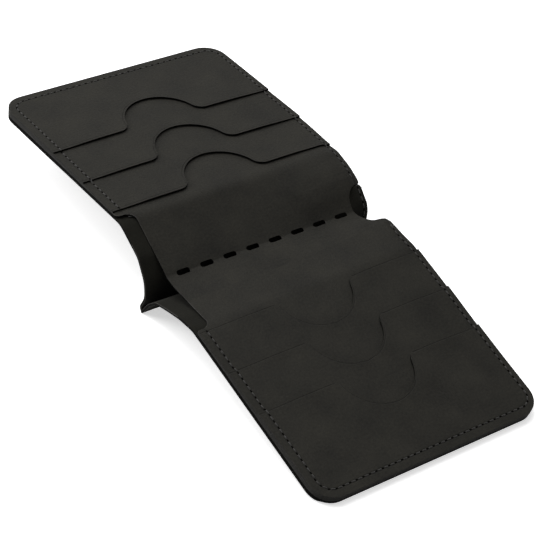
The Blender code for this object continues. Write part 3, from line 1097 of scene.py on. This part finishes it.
shoulder = math.sqrt((THUMB + THUMB_FILLET) ** 2 - THUMB_FILLET ** 2)
meeting = THUMB_FILLET * THUMB / (THUMB + THUMB_FILLET)
thumb_cutter = plate("thumb_cutter", (-shoulder, shoulder), (-6, meeting), (-4, 4))
for side in (-1, 1):
    cut_away(thumb_cutter, upright_cylinder(THUMB_FILLET, side * shoulder, THUMB_FILLET, 48))
cut_away(thumb_cutter, upright_cylinder(THUMB, 0, 0, 80), operation="UNION")
print("thumb cutter:", len(thumb_cutter.data.polygons), "faces")

# %% Cut and lay the pockets
def thumb_cutter_at(half, mouth):
    """The thumb cutter moved to a mouth, and mirrored on the near half."""
    place = Matrix.Translation((0, half.side * mouth, 0)) @ Matrix.Diagonal((1, half.side, 1, 1))
    cutter = moved_copy(thumb_cutter, place)
    if half.side < 0:
        cutter.data.flip_normals()
    return cutter


def shade_mouth_walls(piece, half, mouth):
    """Give the walls of the mouth and its thumb cut the near black finish, as painted shade under the mouth's lifted
    edge.
    """
    for polygon in piece.data.polygons:
        beside_mouth = polygon.center.y * half.side < mouth + THUMB + 0.5
        if polygon.material_index == ON_EDGE and beside_mouth and abs(polygon.center.x) < HALF_WIDTH - 0.4:
            polygon.material_index = ON_PAINTED_SHADE


def pocket(half, index, place_name):
    """A card pocket on one half; index 0 is the lowest, which starts nearest the spine."""
    mouth = half.start + half.mouths[index]
    outer = half.side * (half.start + half.length)
    low = 0.02 + index * POCKET_STEP
    span = sorted((half.side * mouth, outer))
    name = f"{half.name}_{place_name}_card_pocket"
    piece = plate(name, (-HALF_WIDTH, HALF_WIDTH), span, (low, low + POCKET))
    round_corners(piece, [(-HALF_WIDTH, outer), (HALF_WIDTH, outer)], CORNER, 10)
    cut_away(piece, thumb_cutter_at(half, mouth))
    bends = [half.side * (half.start + q) for q in every(6, 0, half.length)]
    bends += [half.side * (mouth + extra) for extra in (1.5, 3.2)]
    finish_flat(piece, 0.13, bends, outer)
    shade_mouth_walls(piece, half, mouth)
    mouth_distance(piece, mouth, half.side)
    lift_mouth(piece, half.mouth_lift)
    lay(piece, laid_on_liner)
    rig.ride(piece, half.name + "_half")
    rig.replaces(piece, f"{half.name}_{place_name}_pocket")
    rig.slot(piece, "leather")
    print(piece.name, len(piece.data.polygons), "faces")


for half in HALVES:
    for index, place_name in enumerate(("inner", "middle", "outer")):
        pocket(half, index, place_name)
bpy.data.objects.remove(thumb_cutter)

# %% [markdown]
# ## The shell and its lining
#
# The shell is the outside hide. It wraps the whole wallet in one piece, and hangs as a loose fold below the
# spine, so that the wallet can close over a stack of notes. It is divided where it doesn't bend, and just
# inside the crease. A woven lining is laid on the flesh side of each half, inside the note compartment.

# %% Cut and lay the shell
def shell_hide(name, s_span, outer_end, bends, rim=None):
    """One part of the shell, grain side down. Its cut edge is near black, as edge paint and painted shade; its upward
    rims take the painted highlight unless another finish is given.
    """
    piece, joins = hide_blank(name, s_span, (0, SHELL))
    finish_flat(piece, 0.13, bends, outer_end, joins, up=FLESH, down=FACE, edge=BLACK_EDGE_AND_SHADE, rim=rim)
    lay(piece, laid_on_shell)
    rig.slot(piece, "leather")
    print(piece.name, len(piece.data.polygons), "faces")
    return piece


SHELL_FAR_END = FAR_SHELL_START + FAR_LENGTH
SHELL_NEAR_END = -NEAR_SHELL_START - NEAR_LENGTH
SHELL_SPLIT_FAR = FAR_SHELL_START - 8.5
SHELL_SPLIT_NEAR = -NEAR_SHELL_START + 8.5
CREASE_SPLIT = -2.6
far_bends = every(1.1, FAR_SHELL_START - 7, FAR_SHELL_START + 9)
far_bends += every(6, FAR_SHELL_START + 12, SHELL_FAR_END - 4) + [SHELL_FAR_END - 2.2]
near_bends = every(1.1, -NEAR_SHELL_START - 9, -NEAR_SHELL_START + 7)
near_bends += every(6, SHELL_NEAR_END + 4, -NEAR_SHELL_START - 12) + [SHELL_NEAR_END + 2.2]
# The outer shell parts also give their upward rims the near black finish, as painted shade in the line under the
# stack.
shell_far = shell_hide("shell_far_leather", (SHELL_SPLIT_FAR, SHELL_FAR_END), SHELL_FAR_END, far_bends,
                       BLACK_EDGE_AND_SHADE)
fold_far = shell_hide("shell_fold_far_leather", (CREASE_SPLIT, SHELL_SPLIT_FAR), SHELL_FAR_END,
                      every(0.35, -2.4, 4) + every(0.9, 4.6, SHELL_SPLIT_FAR - 0.4))
fold_near = shell_hide("shell_fold_near_leather", (SHELL_SPLIT_NEAR, CREASE_SPLIT), SHELL_NEAR_END,
                       every(0.9, SHELL_SPLIT_NEAR + 0.4, -3.2))
shell_near = shell_hide("shell_near_leather", (SHELL_NEAR_END, SHELL_SPLIT_NEAR), SHELL_NEAR_END, near_bends,
                        BLACK_EDGE_AND_SHADE)

# %% The shell bends with the wallet
knee_far = hinge("far_shell_knee")
knee_near = hinge("near_shell_knee")


def beside(point, y, z):
    """A place in the side view, as far from a hinge line as given, in metres."""
    return 0.0, (point.x + y) * MM, (point.y + z) * MM


BLENDS = {
    "far": ("far_half", "shell_far_upper", point_on(laid_on_shell, FAR_SHELL_START + 4.5),
            point_on(laid_on_shell, FAR_SHELL_START - 5)),
    "fold_far": ("shell_far_upper", "shell_far_lower", beside(knee_far, 1.5, 0.5),
                 beside(knee_far, -4.2, -18.0)),
    "fold_near": ("shell_near_upper", "shell_near_lower", beside(knee_near, -5.4, 0.6),
                  beside(knee_near, 3.4, -4.4)),
    "near": ("near_half", "shell_near_upper", point_on(laid_on_shell, -NEAR_SHELL_START - 4.5),
             point_on(laid_on_shell, -NEAR_SHELL_START + 5)),
}


def bend_with_shell(piece, part):
    first, second, start, end = BLENDS[part]
    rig.blend(piece, first, second, start=start, end=end)
    print(piece.name, "bends from", first, "to", second)


for piece, part in zip((shell_far, fold_far, fold_near, shell_near), BLENDS):
    bend_with_shell(piece, part)
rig.replaces(shell_far, "far_shell_panel", "shell_fold_far_upper")
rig.replaces(fold_far, "shell_fold_far_lower")
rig.replaces(fold_near, "shell_fold_near_lower")
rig.replaces(shell_near, "near_shell_panel", "shell_fold_near_upper")

# %% Cut and lay the lining
LINING_LOW = SHELL + 0.12


def lining(half):
    width = HALF_WIDTH - LINING_INSET
    outer = half.side * (half.shell_start + half.length - LINING_INSET)
    span = sorted((half.side * (half.shell_start + 1), outer))
    piece = plate(half.name + "_woven_lining", (-width, width), span, (LINING_LOW, LINING_LOW + LINING))
    round_corners(piece, [(-width, outer), (width, outer)], 5, 6)
    bends = [half.side * (half.shell_start + q) for q in every(6, 0, half.length)]
    finish_flat(piece, 0.08, bends, outer, up=WEAVE, down=WEAVE, edge=WEAVE, rim=WEAVE)
    lay(piece, laid_on_shell)
    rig.ride(piece, half.name + "_half")
    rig.replaces(piece, half.name + "_shell_lining")
    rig.slot(piece, "lining")
    print(piece.name, len(piece.data.polygons), "faces")


for half in HALVES:
    lining(half)

# %% [markdown]
# ## The stitches
#
# A saddle stitched seam is a row of short, plump stitches, each diving into a needle hole at both ends. One
# stitch and one hole are modelled, from two spheres drawn out long, and copied along the seam while
# everything is still flat, so that the seam bends with the leather when it is laid. Where the seam climbs
# onto the next pocket, the stitch climbs just before the mouth.

# %% One stitch and its hole
PITCH = 2.75
STITCH_WIDTH = 0.24
STITCH_HEIGHT = 0.21
STITCH_REACH = 0.92


def long_sphere(rings, turn, finish):
    """A small sphere to shape, with one of the two finishes of a seam."""
    deselect()
    bpy.ops.mesh.primitive_uv_sphere_add(segments=8, ring_count=rings, radius=1, location=(0, 0, 0),
                                         rotation=(turn, 0, 0))
    piece = bpy.context.object
    bpy.ops.object.transform_apply(location=True, rotation=True, scale=True)
    piece.data.uv_layers[0].name = "flat"
    for material in (THREAD, HOLE_SHADE):
        piece.data.materials.append(material)
    for polygon in piece.data.polygons:
        polygon.material_index = finish
    return piece


def stitch_model():
    """A plump stitch that dips at both ends, and the needle hole after it: a flat disc of painted shade."""
    stitch = long_sphere(6, math.radians(90), 0)
    for vert in stitch.data.vertices:
        blunt = math.copysign(abs(vert.co.y) ** 0.8, vert.co.y)
        full = (1 - blunt ** 4) ** 0.5 if abs(vert.co.y) < 0.99 else 0.0
        around = max(math.hypot(vert.co.x, vert.co.z), 1e-6)
        vert.co.x *= STITCH_WIDTH * full / around
        vert.co.z *= STITCH_HEIGHT * full / around
        vert.co.z += 0.06 - 0.16 * abs(blunt) ** 3
        vert.co.y = blunt * STITCH_REACH
    for item in stitch.data.uv_layers["flat"].data:
        item.uv = (item.uv[1] * 2.2, item.uv[0] * 1.5)
    hole = long_sphere(4, 0, 1)
    for vert in hole.data.vertices:
        vert.co = Vector((vert.co.x * 0.33, vert.co.y * 0.60 + PITCH / 2, vert.co.z * 0.04))
    return joined([stitch, hole])


one_stitch = stitch_model()
print("one stitch:", len(one_stitch.data.polygons), "faces")

# %% Sew along a line
def walk_seam(corners):
    """Even places along a flat seam, with the direction of the seam at each one."""
    line = rounded(corners, step=0.2)
    lengths = walk_lengths(line)
    count = max(1, round(lengths[-1] / PITCH))
    places = (np.arange(count) + 0.5) * lengths[-1] / count

    def at(distance):
        return np.array([np.interp(distance, lengths, line[:, i]) for i in (0, 1)])
    ahead = at(places + 0.4) - at(places - 0.4)
    return [(Vector((x, s, 0)), math.atan2(-a, b)) for x, s, a, b in zip(*at(places), *ahead)]


def sew(name, corners, height, laid, underside=False):
    """A row of stitches along flat (x, s, radius) corners, at the height that a function of s gives."""
    over = Matrix.Rotation(math.pi if underside else 0.0, 4, "Y")
    row = [moved_copy(one_stitch, Matrix.Translation(place) @ Matrix.Rotation(turn, 4, "Z") @ over, name)
           for place, turn in walk_seam(corners)]
    print(name, len(row), "stitches")
    piece = joined(row)
    piece.name = name
    piece.data.name = name
    points = np.array([vert.co for vert in piece.data.vertices])
    points[:, 2] += height(points[:, 1])
    piece.data.vertices.foreach_set("co", laid(points).ravel())
    piece.data.update()
    take(piece)
    bpy.ops.object.shade_smooth()
    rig.slot(piece, "thread")
    return piece


def pocket_height(half):
    """The height of the top layer at a distance from the fold, climbing just before each mouth."""
    def height(s):
        reach = s * half.side - half.start
        return POCKET_STEP * sum(ease(reach, mouth - 0.9, mouth - 0.05) for mouth in half.mouths)
    return height

# %% The seams of the two halves
SEAM = HALF_WIDTH - SEAM_INSET
RIGHT_SEAM = SEAM + RIGHT_SEAM_SHIFT
SEAM_TURN = 5.3


def run(half, x, *distances):
    """Seam corners straight across the spine at one X, at these distances out along a half."""
    return [(x, half.side * distance, 0) for distance in distances]


def border_run(half, start, first):
    """Up the right edge, round the outer end and a little way down the left edge."""
    end = half.side * (start + half.length - SEAM_INSET)
    return (run(half, RIGHT_SEAM, start + first) + [(RIGHT_SEAM, end, SEAM_TURN), (-SEAM, end, SEAM_TURN)]
            + run(half, -SEAM, start + half.length - 9))


for half in HALVES:
    border_row = sew(half.name + "_border_stitches", border_run(half, half.start, 5.5), pocket_height(half),
                     laid_on_liner)
    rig.ride(border_row, half.name + "_half")
    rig.replaces(border_row, half.name + "_border_seam")
    left_run = run(half, -SEAM, half.start + half.length - 9, half.start + half.mouths[0] + 0.9)
    left_row = sew(half.name + "_pocket_stitches", left_run, pocket_height(half), laid_on_liner)
    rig.ride(left_row, half.name + "_half")
    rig.replaces(left_row, half.name + "_pocket_seam")

# %% The seams beside the spine
far_row = sew("spine_far_stitches", run(FAR, RIGHT_SEAM, 11.6, FAR_START + 5.5), pocket_height(FAR),
              laid_on_liner)
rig.blend(far_row, "far_half", "spine_far", **FAR_BEND)
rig.replaces(far_row, "spine_far_seam")
near_row = sew("spine_near_stitches", run(NEAR, RIGHT_SEAM, 14.2, NEAR_START + 5.5), pocket_height(NEAR),
               laid_on_liner)
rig.blend(near_row, "spine_near", "near_half", **NEAR_BEND)
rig.replaces(near_row, "spine_near_seam")

# %% The same seams on the outside of the shell
FOLD_SEAM_START = 4.0
INSIDE_SEAM = HALF_WIDTH - 1.8


def shell_face(s):
    return 0.0


def shell_inside(s):
    return SHELL


def outside_row(name, corners):
    return sew(name, corners, shell_face, laid_on_shell, underside=True)


for half in HALVES:
    split = SHELL_SPLIT_FAR if half.side > 0 else -SHELL_SPLIT_NEAR
    row = outside_row(half.name + "_outside_stitches", border_run(half, half.shell_start, 6))
    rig.ride(row, half.name + "_half")
    row = outside_row(half.name + "_bend_stitches", run(half, RIGHT_SEAM, split + 0.5, half.shell_start + 6))
    bend_with_shell(row, half.name)
    row = outside_row(half.name + "_fold_stitches", run(half, RIGHT_SEAM, FOLD_SEAM_START, split - 0.5))
    bend_with_shell(row, "fold_" + half.name)
    inside_run = run(half, INSIDE_SEAM, FOLD_SEAM_START, split - 0.5)
    row = sew(half.name + "_fold_inside_stitches", inside_run, shell_inside, laid_on_shell)
    bend_with_shell(row, "fold_" + half.name)
bpy.data.objects.remove(one_stitch)

# %% [markdown]
# ## The studio
#
# The wallet lies on a plain white table under broad, soft light. The widest softbox hangs overhead. The key
# light stands behind and to the left, so the left edges are the brightest, and a weak one behind and to the
# right draws the other rims. The white room fills in the rest.

# %% Table, lights and camera
shown_low, shown_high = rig.bounds()
deselect()
bpy.ops.mesh.primitive_plane_add(size=6, location=(0, 0, shown_low.z - 0.0001))
table = bpy.context.object
table.name = "table"
white, tree, shader = plain_material("white_table", 0.1)
object_place = add_node(tree, "ShaderNodeTexCoord").outputs["Object"]
speckle = noise(tree, object_place, 3.0)["Fac"]
camera_ray = add_node(tree, "ShaderNodeLightPath").outputs["Is Camera Ray"]
feed(tree, shader, {
    "Base Color": two_tones(tree, speckle, (0.9, 0.9, 0.9), (0.93, 0.93, 0.93)),
    "Roughness": 0.9,
    "Emission Color": (1, 1, 1, 1),
    "Emission Strength": math_node(tree, "MULTIPLY", camera_ray, 0.55),
})
table.data.materials.append(white)
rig.stage(table)

world = bpy.data.worlds.new("studio")
bpy.context.scene.world = world
world.use_nodes = True
feed(world.node_tree, world.node_tree.nodes["Background"], {"Color": (1, 1, 1, 1), "Strength": 0.32})


def softbox(name, place, size, power):
    """A square area light that faces the wallet."""
    light = bpy.data.lights.new(name, "AREA")
    light.shape = "SQUARE"
    light.size = size
    light.energy = power
    lamp = bpy.data.objects.new(name, light)
    bpy.context.scene.collection.objects.link(lamp)
    lamp.location = place
    lamp.rotation_euler = (Vector((0, 0, 0.01)) - Vector(place)).to_track_quat("-Z", "Y").to_euler()


softbox("overhead_softbox", (-0.1, 0.45, 1.1), 0.9, 12.0)
softbox("back_softbox", (0.65, 1.0, 0.5), 0.5, 0.6)
softbox("key_softbox", (-0.7, 0.65, 0.55), 0.6, 7.5)

camera_data = bpy.data.cameras.new("camera")
camera_data.lens = 131.33
camera_data.sensor_width = 36.0
camera_data.clip_start = 0.01
camera = bpy.data.objects.new("camera", camera_data)
bpy.context.scene.collection.objects.link(camera)
tilt = Matrix.Rotation(math.radians(-14.72), 3, "X")
aim = tilt @ Euler((math.radians(61.63), 0, math.radians(-36.87))).to_matrix()
camera.matrix_world = Matrix.Translation((-0.3732, -0.4024, 0.4603)) @ aim.to_4x4()
bpy.context.scene.camera = camera
bpy.context.scene.view_settings.view_transform = "Standard"
print("the camera is", round(camera.matrix_world.translation.length, 2), "m away")

# %% Write the sizes and finish
shown_low, shown_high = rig.bounds()
with open("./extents.json", "w") as file:
    json.dump({"cad": [list(cad_low), list(cad_high)], "shown": [list(shown_low), list(shown_high)]}, file)
print("shown size in mm:", [round(v / MM, 1) for v in shown_high - shown_low])
